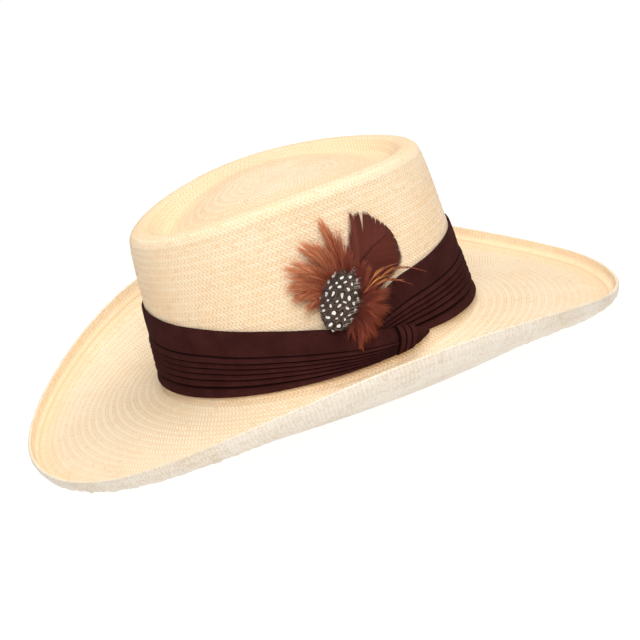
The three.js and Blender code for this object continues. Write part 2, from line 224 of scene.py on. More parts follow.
strawForm = {
    "wall": 1.6,  # thickness of the woven wall
    "sweep": 2.47,  # how late the brim's sides rise: heights blend by |sin| to this power
    "stations": {  # half widths side, front, back, heights side, front, back, corner
        "tipCentre": (0, 0, 0, 127.5, 127.5, 127.5, 0),
        "tipMiddle": (28, 40, 36, 127.6, 123.5, 124.5, 0),
        "moat": (47, 75.5, 69.3, 126.2, 111.5, 117.8, 0),
        "innerWall": (51, 80.5, 73.5, 127.6, 114.5, 120.2, 0),
        "ridge": (56.7, 87, 79.8, 129.7, 120.7, 124.7, 0),
        "ridgeOuter": (62.2, 93, 85.3, 129, 120.2, 124.2, 0),
        "crease": (66.2, 96.8, 89.2, 126.3, 117.3, 121.7, 0),
        "shoulder": (67.9, 98.5, 92, 116.2, 110.2, 112.2, 0),
        "bandFoot": (87.7, 101.6, 101.4, 25, 24.6, 24.9, 0),
        "crownFoot": (89.7, 103, 103, 20.8, 20.1, 20.9, 0),
        "brimBreak": (94.7, 108, 108, 19.3, 17.5, 18.5, 0),
        "brimInner": (109.6, 124.4, 123.1, 17, 15.2, 15.8, 0),
        "brimMiddle": (137.3, 153.7, 150.9, 22.3, 9, 9.8, 0.005),
        "brimOuter": (158.7, 175.8, 172.1, 35.1, 3.4, 3.5, 0.01),
        "bearing": (166.1, 182.3, 179, 40.2, 1.3, 1.3, 0.012),
        "fold": (170.3, 186.2, 183, 43.4, 1.3, 1.3, 0.012),
        "curl": (173.3, 189.6, 188.6, 48.2, 3.6, 3, 0.012),
        "rim": (174, 191, 191, 54.6, 8.2, 7.6, 0.012),
    },
}
stationNames = list(strawForm["stations"])


def stationPoints(turns):
    # a table row is an oval: x = side sin, y = -reach cos, drawn in by corner sin(2 turn)^2, and
    # its height goes from the low ends to the sides by |sin|^sweep
    table = np.array(list(strawForm["stations"].values()), float)
    side, front, back, upSide, upFront, upBack, corner = table.T
    angles = np.radians(turns)[:, None]
    sine, cosine = np.sin(angles), np.cos(angles)
    reach = np.where(cosine > 0, front, back)
    low = np.where(cosine > 0, upFront, upBack)
    rise = np.abs(sine) ** strawForm["sweep"]
    drawn = 1 - corner * (2 * sine * cosine) ** 2
    height = upSide * rise + low * (1 - rise)
    return np.stack([side * sine * drawn, -reach * cosine * drawn, height], -1)


def strawGrid(turns, places):
    # turns x places x 3: a centripetal Catmull-Rom curve through the stations at each turn, where
    # a place is a station's number, with the knots spaced by the root of the distance
    points = stationPoints(turns)
    first = 2 * points[:, :1] - points[:, 1:2]
    last = 2 * points[:, -1:] - points[:, -2:-1]
    knots = join([first, points, last], 1)
    spans = np.clip(np.floor(places), 0, points.shape[1] - 2).astype(int)
    t = (places - spans)[None, :, None]
    a, b, c, d = (knots[:, spans + k] for k in range(4))
    pairs = ((a, b), (b, c), (c, d))
    ab, bc, cd = (np.sqrt(lengthOf(q - p)[..., None]) for p, q in pairs)
    leave = ((b - a) / ab - (c - a) / (ab + bc) + (c - b) / bc) * bc
    arrive = ((c - b) / bc - (d - b) / (bc + cd) + (d - c) / cd) * bc
    square = (3 * (c - b) - 2 * leave - arrive) * t**2
    return b + leave * t + square + (2 * (b - c) + leave + arrive) * t**3


def gridNormals(points):
    # outward normals of a closed grid of turns x places: (along the places) x (round the turns)
    around = np.roll(points, -1, 0) - np.roll(points, 1, 0)
    normals = unit(np.cross(np.gradient(points, axis=1), around))
    normals[lengthOf(around) < 1e-6] = (0, 0, 1)
    return normals


# Woven straw: courses run round the hat in pairs, a wide one whose strands lean one way and a
# narrow one whose strands lean back.

weave = {
    "course": 2.35,  # mean width of a course
    "wide": 1.25,  # the wide course's part of a pair, out of 2
    "strand": 2.45,  # width of a strand along its course
    "rounding": 12,  # strands are added to a pair this many at a time
    "columns": 192,  # steps round the hat
    "outerRows": 3,  # steps across a course on the outer face
    "innerRows": 1,
    "brimInnerRows": 2,  # on the underside of the brim
    "short": 0.7,  # how far the body ends inside the rim, which the woven edge closes
    "rest": 0.12,  # how far the body stays over the floor, on which the woven edge lies
    # from each station on, how far the wide courses stand up in rings, and the zone shade:
    # painted shade towards the ripe colour where it is positive, paler straw where it is negative
    "zones": {
        "tipCentre": (0.02, 0), "tipMiddle": (0.12, 0), "moat": (0.07, 0.8), "innerWall": (0.06, 1),
        "ridge": (0.04, 0.6), "ridgeOuter": (0.04, 0.2), "crease": (0.04, 0), "bandFoot": (0.04, 0),
        "brimInner": (0.18, -0.25), "brimMiddle": (0.1, -0.25), "brimOuter": (0.05, -0.15),
        "fold": (0.05, 0.75), "curl": (0.05, 0.4), "rim": (0.05, -0.4),
    },
}


def zigzag(courses):
    # how far through its own course a place is, 0 to 1, and which way the strands lean there
    part = courses % 2
    narrow = part >= weave["wide"]
    phase = np.where(narrow, (part - weave["wide"]) / (2 - weave["wide"]), part / weave["wide"])
    return phase, np.where(narrow, 1, -1)


finePlaces = np.linspace(0, len(stationNames) - 1, 1701)
fineGrid = strawGrid(np.arange(0, 360, 5.0), finePlaces)
fineReach = lengthOf(np.diff(fineGrid, axis=1)).mean(0)
courseCount = round(fineReach.sum() / weave["course"])
courseOfPlace = join([[0], np.cumsum(fineReach)]) / fineReach.sum() * courseCount


def placeOfCourse(course):
    return np.interp(course, courseOfPlace, finePlaces)


def courseOfStation(name):
    return np.interp(stationNames.index(name), finePlaces, courseOfPlace)


def strandsIn(course):
    # how many strands there are round a pair of courses: its girth over the strand's width
    turns = np.arange(0, 360, 2.0)
    ring = strawGrid(turns, placeOfCourse(2 * np.floor(course / 2) + 1))
    girth = lengthOf(ring - np.roll(ring, 1, 0)).sum(0)
    some = weave["rounding"]
    return np.maximum(np.round(girth / weave["strand"] / some), 1) * some


def cornerUv(u, rows):
    # u at the four corners of each face, with the courses of its upper and lower row as v
    top, foot = (np.broadcast_to(r[:, None], u.shape[:2]) for r in (rows[:-1], rows[1:]))
    return np.stack([u, np.stack([top, foot, foot, top], -1)], -1).reshape(-1, 2)


def weaveUv(rows, columns):
    # per corner: strands counted round the hat, courses counted from the middle of the tip
    low, high = np.minimum(rows[:-1], rows[1:]), np.maximum(rows[:-1], rows[1:])
    strands = strandsIn((low + high) / 2)[:, None]
    start = np.arange(columns)[None, :] / columns
    end = start + 1 / columns
    return cornerUv(np.stack([start, start, end, end], -1) * strands[..., None], rows)


def zonesAt(courses):
    # how far the rings stand up and the zone shade, painted shade towards the ripe colour, straight between
    # the stations
    zones = weave["zones"]
    places = [courseOfStation(name) for name in zones]
    return (np.interp(courses, places, column) for column in zip(*zones.values()))


def courseRelief(courses):
    # the wide courses stand up in rings, most of all where the brim begins
    rings, _ = zonesAt(courses)
    return rings * (np.cos(np.pi * (courses - weave["wide"] / 2)) - 1)


def makeStraw():
    # rows of the outer face from the tip to the rim, then of the inner face back to the tip, with
    # a fan of triangles on each pole
    brim = math.ceil(courseOfStation("brimBreak"))
    last = courseCount - weave["short"]
    onTop, onBrim, inCrown = weave["outerRows"], weave["brimInnerRows"], weave["innerRows"]
    outerCourses = np.append(np.arange(1, int(last * onTop)) / onTop, last)
    brimCourses = np.arange(int(last * onBrim) - 1, brim * onBrim, -1) / onBrim
    crownCourses = np.arange(brim * inCrown, 0, -1) / inCrown
    innerCourses = join([[last], brimCourses, crownCourses])
    turns = np.arange(weave["columns"]) * 360 / weave["columns"]

    outer = strawGrid(turns, placeOfCourse(outerCourses))
    inner = strawGrid(turns, placeOfCourse(innerCourses))
    outer = outer + gridNormals(outer) * courseRelief(outerCourses)[None, :, None]
    inner = inner - gridNormals(inner[:, ::-1])[:, ::-1] * strawForm["wall"]
    inner[..., 2] = np.maximum(inner[..., 2], weave["rest"])
    rings = join([outer, inner], 1).transpose(1, 0, 2)  # rows x turns x 3
    tip = strawForm["stations"]["tipCentre"][3]
    poles = np.array([[0, 0, tip], [0, 0, tip - strawForm["wall"]]])
    points = join([rings.reshape(-1, 3), poles])

    numbers = numbered(rings)
    quads = gridQuads(numbers, closeColumns=True)
    topPole, lowPole = (np.full(len(turns), len(points) - k) for k in (2, 1))
    topFan = np.stack([topPole, numbers[0], np.roll(numbers[0], -1)], -1)
    lowFan = np.stack([lowPole, np.roll(numbers[-1], -1), numbers[-1]], -1)

    rows = join([outerCourses, innerCourses])
    fanUv = np.zeros((2 * len(topFan) * 3, 2))
    uv = join([weaveUv(rows, weave["columns"]), fanUv])
    under = join([np.zeros(outer.shape[1]), np.ones(inner.shape[1])])
    under = join([np.repeat(under, len(turns)), [0, 1]])
    shares = {"under": under}
    # ring scales the painted ring shade; ripe carries the zone shade, painted shade where it is positive
    for label, share in zip(("ring", "ripe"), zonesAt(rows)):
        perPoint = join([np.repeat(share / share.max(), len(turns)), [0, 0]])
        shares[label] = perPoint * (1 - under)
    return buildMesh("straw_weave", points, [quads, topFan, lowFan], {"weave": uv}, shares)


# The brim's outer courses are turned back and woven in again, so they make a firmer edge, which
# reaches further in under the brim. Its columns follow the strands, which lean one way in one
# course and back in the next.
wovenEdge = {
    "courses": 4,  # how far the edge reaches in from the rim on top
    "underCourses": 10,  # and under the brim
    "end": 0.45,  # how far short of the rim its face turns into its nose, in courses
    "tuckIn": 0.35,  # courses over which its border rises out of the brim
    "hemShade": 0.4,  # width of the painted shade line in the crease where the edge is turned in, in courses
    "strands": 480,
    "columns": 3,  # steps across a strand
    "rows": 3,  # steps across a course
    "noseRows": 4,  # steps round the rim
    "backStep": 0.8,  # courses between the rows inside the wall
    "proud": 0.22,  # how far it stands off the brim
    "strandDepth": 0.22,
    "ragged": 0.8,  # how far the cut ends of the under side stand out at most
    "lean": 1.1,  # strands that one strand leans over in a course
}


def makeWovenEdge():
    # a closed ring of rows: the upper face outwards, the nose, the under face inwards, and a way
    # back inside the wall
    form = wovenEdge
    wall, step = strawForm["wall"], form["rows"]
    last = courseCount - form["end"]
    topRows, underRows = (
        np.linspace(last - n, last, n * step + 1) for n in (form["courses"], form["underCourses"]))
    share = np.arange(form["strands"] * form["columns"]) / form["columns"]
    turns = np.arange(0, 360, 1.0)
    across = 1 - (2 * (share % 1) - 1) ** 2
    strand = np.floor(share).astype(int) % form["strands"]

    def face(courses, depth):
        # points and outward normals at the leaning columns, at a depth under the outer face
        phase, sign = zigzag(courses)
        shift = form["lean"] * (phase - 0.5) * sign
        grid = strawGrid(turns, placeOfCourse(courses))
        at = ((share[:, None] + shift[None, :]) / form["strands"] * 360) % 360
        low = np.floor(at).astype(int)
        part = (at - low)[..., None]
        row = np.arange(len(courses))[None, :]
        both = np.stack([grid, gridNormals(grid)])
        points, outward = both[:, low % 360, row] * (1 - part) + both[:, (low + 1) % 360, row] * part
        dive = 1 - np.abs(2 * phase - 1)[None, :] ** 4
        relief = form["strandDepth"] * (across[:, None] ** 0.6 * dive - 0.5)
        return points - unit(outward) * depth, unit(outward), relief, shift

    def offBrim(courses, relief):
        # tucked into the brim at a face's inner border and proud of it from there on
        border = smoothStep(0, form["tuckIn"], courses - courses[0])
        return (form["proud"] * (2 * border - 1) + relief * border)[..., None]

    top, topOut, topRelief, topShift = face(topRows, 0)
    under, underOut, underRelief, underShift = face(underRows, wall)
    ends = draw.uniform(0, 1, (form["strands"], form["underCourses"] + 3)) ** 4
    belly = np.sin(np.pi * np.clip((last - underRows) / form["underCourses"], 0, 1)) ** 0.7
    endCourse = np.floor(last - underRows).astype(int)
    ends = ends[strand[:, None], endCourse[None, :]] * belly * form["ragged"]
    top = top + topOut * offBrim(topRows, topRelief)
    under = under - underOut * offBrim(underRows, underRelief + ends)
    back, _, _, backShift = face(np.arange(underRows[0] + 0.5, topRows[0], form["backStep"]), wall / 2)

    nose = []
    tangent = unit(top[:, -1] - top[:, -2])
    middle = (top[:, -1] + under[:, -1]) / 2
    half = lengthOf(top[:, -1] - under[:, -1]) / 2
    for angle in np.linspace(0, np.pi, form["noseRows"] + 2)[1:-1]:
        ring = middle + topOut[:, -1] * (half * np.cos(angle))[:, None]
        ring = ring + tangent * (half * np.sin(angle))[:, None]
        nose.append(ring + tangent * (form["strandDepth"] * (across - 0.5) * np.sin(angle))[:, None])
    rings = join([top, np.stack(nose, 1), under[:, ::-1], back], 1).transpose(1, 0, 2)
    rings[..., 2] = np.maximum(rings[..., 2], 0)
    quads = gridQuads(numbered(rings), closeRows=True, closeColumns=True)

    # strands are counted along the zigzag, so the pattern of the finish lies on the relief
    onNose, onBack = np.ones(form["noseRows"]), np.ones(back.shape[1])
    rows = join([topRows, onNose * last, underRows[::-1], onBack * underRows[0], topRows[:1]])
    leans = join([topShift, onNose * topShift[-1], underShift[::-1], backShift, topShift[:1]])
    begin = share[None, :]
    stop = begin + 1 / form["columns"]
    above, below = leans[:-1, None], leans[1:, None]
    uv = cornerUv(np.stack([begin + above, begin + below, stop + below, stop + above], -1), rows)
    under = join([0 * topRows, np.linspace(0, 1, len(onNose)), 1 + 0 * underRows, onBack])
    onTop = np.arange(len(rows) - 1) < len(topRows)
    # a line of painted shade in the crease where the edge is turned in, on the top face only
    hemShade = np.clip(1 - (rows[:-1] - topRows[0]) / form["hemShade"], 0, 1) * onTop
    # the zone shade, painted shade on the top face only
    _, ripe = zonesAt(rows[:-1])
    perRow = {"under": under, "hemShade": hemShade, "ripe": ripe * (1 - under)}
    shares = {label: np.repeat(values, rings.shape[1]) for label, values in perRow.items()}
    return buildMesh("woven_edge", rings, [quads], {"weave": uv}, shares)


# The finish of the straw.

strawLook = {
    "wanderScale": 110.0,
    "courseWander": 0.2,  # how far courses and strands stray, in courses and in strands
    "strandWander": 0.15,
    "dive": 3.0,  # how late a strand dives under at its ends, as a power
    "diveDepth": -0.5,
    "narrowDepth": -0.1,  # how much lower the narrow courses lie
    "patchScale": 34.0,
    "fleckScale": 900.0,
    "fleck": 3.0,
    "tones": (0.1, 1.0),  # the tones that are pale and ripe straw
    "narrowShade": 0.1,  # painted shade: how far the narrow courses go towards the ripe colour, and how much more by rings
    "ringShade": 0.2,
    # painted shade: how far the zone shade moves the tone towards the ripe colour
    "zoneShadeTone": 0.7,
    "gapEdge": 0.6,  # how far from its edge a strand shows the gap's painted shade
    "gapMiddle": 0.42,  # painted shade: how dark the gap is along a strand, and how much more at its ends, where it dives under
    "gapEnd": 0.75,
    "gapShadeByRing": 1.1,  # how much darker the gap's painted shade is by rings
    "ringShadeDots": 0.6,  # painted shade in dark dots between the rings
    "dotBow": -0.75,
    "specks": (0.975, 0.12),  # strands with a random share over the first are darker by the second
    "fibreScale": 9.0,
    "fibre": 0.12,
    "roughness": (0.2, 0.5),  # what a strand's random share adds, and the least
}


def strawWeaveGroup():
    # a strand is the fraction of u leaned over by v, one way in the wide course of a pair and back
    # in the narrow one, and each pair starts a step further round; its height is a bow across it,
    # lower where it dives under at its ends, and its colour a random share, with painted shade in
    # the gaps, at its ends, on the narrow courses, between the rings and by the zone shade
    look = strawLook
    floats = ("Lean", "Back Lean", "Step", "Wide", "Gap Shade Share", "Cell Share", "Speckle", "Ring", "Zone Shade")
    tree, given, made = newGroup(
        "straw weave",
        {"Vector": ("Weave", "Place"), "Color": ("Pale", "Ripe", "Gap"), "Float": floats},
        {"Color": ("Color",), "Float": ("Height", "Roughness")})
    times, timesPlus, minus = sums(tree)
    calc = partial(mathNode, tree)
    place, wide, ring = given["Place"], given["Wide"], given["Ring"]
    split = addNode(tree, "SeparateXYZ", given["Weave"]).outputs
    wander = minus(noiseNode(tree, place, look["wanderScale"]), 0.5)
    pair = times(timesPlus(wander, look["courseWander"], split["Y"]), 0.5)
    pairNumber = calc("FLOOR", pair)
    part = times(calc("FRACT", pair), 2.0)
    narrow = calc("GREATER_THAN", part, wide)
    width = timesPlus(narrow, timesPlus(wide, -2.0, 2.0), wide)
    phase = calc("DIVIDE", minus(part, times(narrow, wide)), width)
    lean = timesPlus(narrow, minus(given["Back Lean"], given["Lean"]), given["Lean"])
    lean = times(minus(phase, 0.5), lean)
    strand = timesPlus(lean, timesPlus(narrow, 2.0, -1.0), split["X"])
    strand = timesPlus(wander, look["strandWander"], strand)
    strand = timesPlus(pairNumber, given["Step"], strand)
    across = calc("ABSOLUTE", timesPlus(calc("FRACT", strand), 2.0, -1.0))
    along = calc("ABSOLUTE", timesPlus(phase, 2.0, -1.0))
    bow = minus(1.0, calc("POWER", across, 2.0))
    dive = calc("POWER", along, look["dive"])
    height = times(bow, timesPlus(dive, look["diveDepth"], timesPlus(narrow, look["narrowDepth"], 1.0)))

    cell = addNode(tree, "CombineXYZ", calc("FLOOR", strand), timesPlus(pairNumber, 2.0, narrow))
    random = addNode(tree, "TexWhiteNoise", cell.outputs[0], noise_dimensions="2D").outputs["Value"]
    patches = minus(noiseNode(tree, place, look["patchScale"], 3.0), 0.3)
    tone = timesPlus(random, given["Cell Share"], patches)
    # painted shade: the narrow courses, more so by rings, go towards the ripe colour
    tone = timesPlus(narrow, timesPlus(ring, look["ringShade"], look["narrowShade"]), tone)
    # painted shade by the zone shade: towards the ripe colour where positive, paler where negative
    tone = timesPlus(given["Zone Shade"], look["zoneShadeTone"], tone)
    flecks = minus(noiseNode(tree, place, look["fleckScale"], 3.0), 0.45)
    tone = timesPlus(times(flecks, look["fleck"]), given["Speckle"], tone)
    straw = mixNode(tree, rangeNode(tree, tone, *look["tones"]), given["Pale"], given["Ripe"])

    # painted shade in the gaps between strands, darker where a strand dives under and by rings; the specks
    # are random darker strands
    gap = times(rangeNode(tree, bow, 0.0, look["gapEdge"], 1.0, 0.0), given["Gap Shade Share"])
    gap = times(gap, timesPlus(dive, look["gapEnd"], look["gapMiddle"]))
    gap = times(gap, timesPlus(ring, look["gapShadeByRing"], 1.0))
    least, speck = look["specks"]
    gap = calc("MAXIMUM", gap, times(calc("GREATER_THAN", random, least), speck))
    # painted shade in dots between the rings, where the narrow course's strands dive under
    shadeDots = times(times(times(dive, narrow), ring), timesPlus(bow, look["dotBow"], 1.0))
    gap = timesPlus(shadeDots, look["ringShadeDots"], gap)
    fibre = noiseNode(tree, given["Weave"], look["fibreScale"], 1.0)
    fill(made, {
        "Color": mixNode(tree, gap, straw, given["Gap"]),
        "Height": timesPlus(fibre, look["fibre"], height),
        "Roughness": timesPlus(random, *look["roughness"])})
    return tree


strawFinish = {
    "pale": rgb(252, 230, 197),
    "ripe": rgb(249, 217, 175),
    # the gap's colour: painted shade in the gaps, in creases and on the edge's top; random dark specks take
    # it too
    "gap": rgb(182, 127, 77),
    "underPale": rgb(235, 224, 208),  # painted shade under the brim: the underside's colours are greyer and darker than the top's
    "underRipe": rgb(214, 195, 168),
    "underGap": rgb(176, 138, 106),
    "hemShadeShare": 0.55,  # painted shade: how dark the line is in the crease where the rim's edge is turned in
    "speckle": (0.15, 0.6),  # shares on the outer face, and on the underside
    "cellShare": (0.4, 0.12),
    # leans and steps in strands, bump in mm, how far the colours go over to the gap's painted shade,
    # and how far the top face's colours go over to the gap's colour as painted shade
    "sewn": {"lean": 1.1, "backLean": 0.6, "step": 0.6, "gapShadeShare": (0.5, 0.27), "bump": 0.3, "topShade": 0.0},
    "edge": {"lean": 0.0, "backLean": 0.0, "step": 0.0, "gapShadeShare": (0.35, 0.26), "bump": 0.1, "topShade": 0.02},
}


def strawMaterial(name, way):
    finish, own = strawFinish, strawFinish[way]
    material, tree, shader = newMaterial(name, {"Specular IOR Level": 0.3, "Sheen Weight": 0.08})
    under = attributeNode(tree, "under")
    given = {
        "Weave": uvNode(tree, "weave"), "Place": objectCoordinates(tree), "Wide": weave["wide"],
        "Lean": own["lean"], "Back Lean": own["backLean"], "Step": own["step"],
        "Ring": attributeNode(tree, "ring"), "Zone Shade": attributeNode(tree, "ripe")}
    for label in ("Pale", "Ripe", "Gap"):
        # painted shade on the top face: its colours go a little towards the gap's colour
        above = mixNode(tree, own["topShade"], finish[label.lower()], finish["gap"])
        # painted shade under the brim: the underside takes its own greyer, darker colours
        given[label] = mixNode(tree, under, above, finish[f"under{label}"])
    for label, pair in (("Gap Shade Share", own["gapShadeShare"]), ("Speckle", finish["speckle"]),
                        ("Cell Share", finish["cellShare"])):
        given[label] = rangeNode(tree, under, 0.0, 1.0, *pair)
    straw = placeGroup(tree, weaveGroup, given)
    # a line of painted shade in the crease where the rim's edge is turned in
    hemShade = mathNode(tree, "MULTIPLY", attributeNode(tree, "hemShade"), finish["hemShadeShare"])
    color = mixNode(tree, hemShade, straw["Color"], finish["gap"])
    fill(shader, {"Base Color": color, "Roughness": straw["Roughness"]})
    bumpTo(tree, shader, straw["Height"], own["bump"])
    return material


weaveGroup = strawWeaveGroup()
dress(makeStraw(), strawMaterial("sewn straw", "sewn"), "straw", "straw_body")
dress(makeWovenEdge(), strawMaterial("edge straw", "edge"), "straw")
print(f"straw: {courseCount} courses")


# The crown's wall as a surface to lay things on.

wallHeights = np.arange(20.0, 119.0)
wallTurns = np.arange(0, 361.0)


def readWall():
    # points of the wall at each whole turn and height, read off the meridians
    span = [stationNames.index(name) for name in ("crease", "brimBreak")]
    grid = strawGrid(wallTurns, np.linspace(*span, 400))[:, ::-1]
    columns = [[np.interp(wallHeights, line[:, 2], line[:, axis]) for axis in (0, 1)] for line in grid]
    flat = np.array(columns).transpose(0, 2, 1)
    points = join([flat, np.broadcast_to(wallHeights[:, None], (*flat.shape[:2], 1))], -1)
    normals = -gridNormals(points[:-1])
    return points, join([normals, normals[:1]])


wallPoints, wallNormals = readWall()


def onCrown(turn, height, off):
    # the point of the wall at a turn and a height, moved outwards; straight between whole steps
    turn = np.asarray(turn, float) % 360
    row = np.clip(height - wallHeights[0], 0, len(wallHeights) - 1.001)
    a, b = np.floor(turn).astype(int), np.floor(row).astype(int)
    s, t = (turn - a)[..., None], (row - b)[..., None]

    def between(grid):
        low = grid[a, b] * (1 - t) + grid[a, b + 1] * t
        high = grid[a + 1, b] * (1 - t) + grid[a + 1, b + 1] * t
        return low * (1 - s) + high * s

    return between(wallPoints) + unit(between(wallNormals)) * np.asarray(off)[..., None]


def clothTube(name, rings, along, across, crease):
    # a closed tube of rings of cloth with both ends capped; along and across are mm of cloth
    numbers = numbered(rings)
    faceSets = [gridQuads(numbers, closeRows=True), numbers[::-1, :1].T, numbers[:, -1:].T]
    uv = np.stack(np.broadcast_arrays(along, across), -1)
    return buildMesh(name, rings, faceSets, {"cloth": uv}, {"crease": crease})


# The pleated band, one strip wound once round the crown and lapped over its own beginning.

bandForm = {
    "gap": 0.3,  # clearance to the straw
    "cloth": 1.3,
    "pleat": 0.95,  # how far the lower edge of a pleat stands out
    "tuck": 0.05,  # how far a pleat reaches up under the one above, as a share of its width
    "lift": 2.6,  # how far the lapping end stands off what it covers
    "liftTurns": (424, 446),
    "plainTurns": (463, 467),  # the pleats run out here, and the tail lies smooth
    "wrinkle": 0.5,  # depth of the wrinkles where the cloth is drawn together
    "wrinkles": (1.9, 5.0),  # and how close they lie along it and across it
    "swell": 0.35,  # how much more the pleats stand out there
    "plain": (0.25, 0.8),  # how far the plain top bellies, and how flat the tail's pleats are
    "radius": 92,  # mean radius of the crown, for the length of the cloth
    "step": 1.0,  # degrees between sections
    # turn, height of the top edge, height of the foot, and 0 spread to 1 drawn together
    "run": np.array([
        (90, 44, 37, 1), (96, 55.4, 35.4, 0.7), (102, 61.6, 33.4, 0.45), (111, 66.2, 30.8, 0.2),
        (126, 67.5, 27.6, 0), (144, 69.4, 25.4, 0), (180, 72, 25.2, 0), (270, 70, 25.2, 0),
        (360, 74.6, 25.2, 0), (396, 67.2, 25.2, 0), (420, 60.4, 25.2, 0.25), (438, 53.8, 25.3, 0.6),
        (450, 47, 25.4, 0.9), (462, 39.6, 25.6, 1), (468, 37.4, 25.7, 0.8), (474, 31.4, 29.4, 0.8),
    ]),
    "spread": (0.38, 0.48, 0.56, 0.64, 0.73, 0.83),  # lower edges of the pleats across the width
    "drawn": (0.56, 0.67, 0.75, 0.82, 0.88, 0.94),
    # across one pleat: how far down it, how far out as a share, and how much painted shade darkens the
    # crease
    "profile": np.array([
        (0, 0.1, 0.8), (0.08, 0, 1), (0.18, 0.02, 0.85), (0.3, 0.12, 0.1), (0.5, 0.4, 0),
        (0.72, 0.75, 0), (0.86, 0.95, 0), (0.94, 1, 0), (0.985, 0.85, 0), (1, 0.4, 0.4),
    ]),
    # the folded top edge: how far down the width, and how far out as a share of the cloth
    "fold": ((0.012, 0.0), (0.0, 0.45), (0.001, 0.85)),
    "backRows": 9,
}


def bandAt(turns):
    # top, foot and gathering of the strip at each turn, smoothed a little along it
    near = turns[:, None] + np.linspace(-3, 3, 7)[None, :]
    return (np.interp(near, bandForm["run"][:, 0], column).mean(1) for column in bandForm["run"][:, 1:].T)


def bandLift(turns):
    return bandForm["lift"] * smoothStep(*bandForm["liftTurns"], turns)


def makeBand():
    # across the width each pleat swells to its rounded lower edge, and the next one starts higher
    # up, tucked in behind that edge
    form = bandForm
    run = form["run"][:, 0]
    turns = np.arange(run[0], run[-1] + form["step"] / 2, form["step"])
    top, foot, gather = bandAt(turns)
    lines = np.array(form["spread"]) * (1 - gather[:, None]) + np.array(form["drawn"]) * gather[:, None]
    edges = join([np.zeros((len(turns), 1)), lines, np.ones((len(turns), 1))], 1)
    t, rise, dark = form["profile"].T
    smooth = smoothStep(*form["plainTurns"], turns)
    width = np.diff(edges, axis=1)[:, :, None]
    share = edges[:, :-1, None] + width * t
    share[:, 1:, 0] -= form["tuck"] * width[:, 1:, 0]
    belly, flat = form["plain"]
    depth = (form["pleat"] * (1 + form["swell"] * gather) * (1 - flat * smooth))[:, None, None]
    out = form["cloth"] + depth * rise + np.zeros_like(share)
    out[:, 0] = form["cloth"] + belly * np.sin(np.pi * t)
    share, out = share.reshape(len(turns), -1), out.reshape(len(turns), -1)

    foldShare, foldOut = np.array(form["fold"]).T
    lip = foldOut * form["cloth"]
    back = np.linspace(1, 0, form["backRows"])
    ones = np.ones((len(turns), 1))
    shares = join([ones * foldShare, share, ones * back], 1)
    outs = join([ones * lip, out, ones * (0 * back)], 1)
    shares[:, len(lip)] += 0.01
    height = top[:, None] + (foot - top)[:, None] * shares
    close, closeAcross = form["wrinkles"]
    wrinkle = form["wrinkle"] * np.sin(turns * close)[:, None] * np.sin(shares * closeAcross)
    wrinkle = wrinkle * gather[:, None]
    off = form["gap"] + bandLift(turns)[:, None] + outs + wrinkle * (outs > 0)
    rings = onCrown(turns[:, None], height, off).transpose(1, 0, 2)  # ring x turns x 3
    along = np.radians(turns - turns[0]) * form["radius"]
    across = shares * (top - foot)[:, None]
    # painted shade in the crease under each pleat's edge; none on the plain top, fading where the tail lies
    # smooth
    crease = np.tile(dark, len(edges[0]) - 1)
    crease[: len(t)] = 0
    crease = join([0 * lip, crease, 0 * back])[:, None] * (1 - smooth)
    return clothTube("pleated_cloth_band", rings, along[None, :], across.T, crease)


keeperForm = {
    "turns": (460, 466.7),
    "cloth": 1.2,
    "ribs": 3,
    "ribDepth": 1.0,
    "over": 0.7,  # how far it stands past the strip's edges
    "bow": 1.3,  # degrees that its folds bulge to the back
    "lean": 1.4,  # and lean forward at the foot
    "steps": 9,  # columns a rib
    "rows": 25, "innerRows": 8,
}


def makeKeeper():
    # the wrap runs over the strip's top edge, down its face and under its foot; across it the
    # cloth lies in folds, each swelling to an edge that overlaps the next
    form = keeperForm
    columns = form["ribs"] * form["steps"] + 1
    fold = np.linspace(0, form["ribs"], columns)
    turns = np.linspace(*form["turns"], columns)
    top, foot, _ = bandAt(turns)
    top, foot = np.linspace(top[0], top[-1], columns), np.linspace(foot[0], foot[-1], columns)
    cover = bandForm["gap"] + bandForm["cloth"] + bandForm["pleat"] * 1.35
    phase = fold % 1
    swell = form["ribDepth"] * (phase**0.6) * (1 - smoothStep(0.82, 1.0, phase))
    swell[-1] = 0
    angle = np.radians(np.linspace(180, -180, form["rows"]))[1:-1]
    # a flattened oval in (height, off): wide over the strip, its back flat on the strip's back
    middle, half = (top + foot) / 2, (top - foot) / 2 + form["over"]
    outward = np.clip(np.cos(angle * 0.5), 0, 1) ** 0.35
    upward = np.sin(-angle / 2)
    height = middle + half * upward[:, None]
    off = bandLift(turns) + bandForm["gap"] + outward[:, None] * (cover + form["cloth"] + swell)
    inner = np.linspace(0.94, -0.94, form["innerRows"])[:, None]
    innerHeight = middle + (half - form["cloth"]) * inner
    innerOff = bandLift(turns) + bandForm["gap"] + cover * (1 - inner**8) + 0 * innerHeight
    heights = join([height, innerHeight])
    share = (heights - middle) / half
    bent = turns + form["bow"] * (1 - share**2) + form["lean"] * share
    rings = onCrown(bent, heights, join([off, innerOff]))
    # painted shade in the folds between the ribs
    crease = np.repeat([np.where(np.abs(phase) < 0.12, 1.0, 0.0)], len(rings), 0)
    return clothTube("cloth_keeper", rings, np.arange(len(rings))[:, None] * 1.2, fold * 4.0, crease)


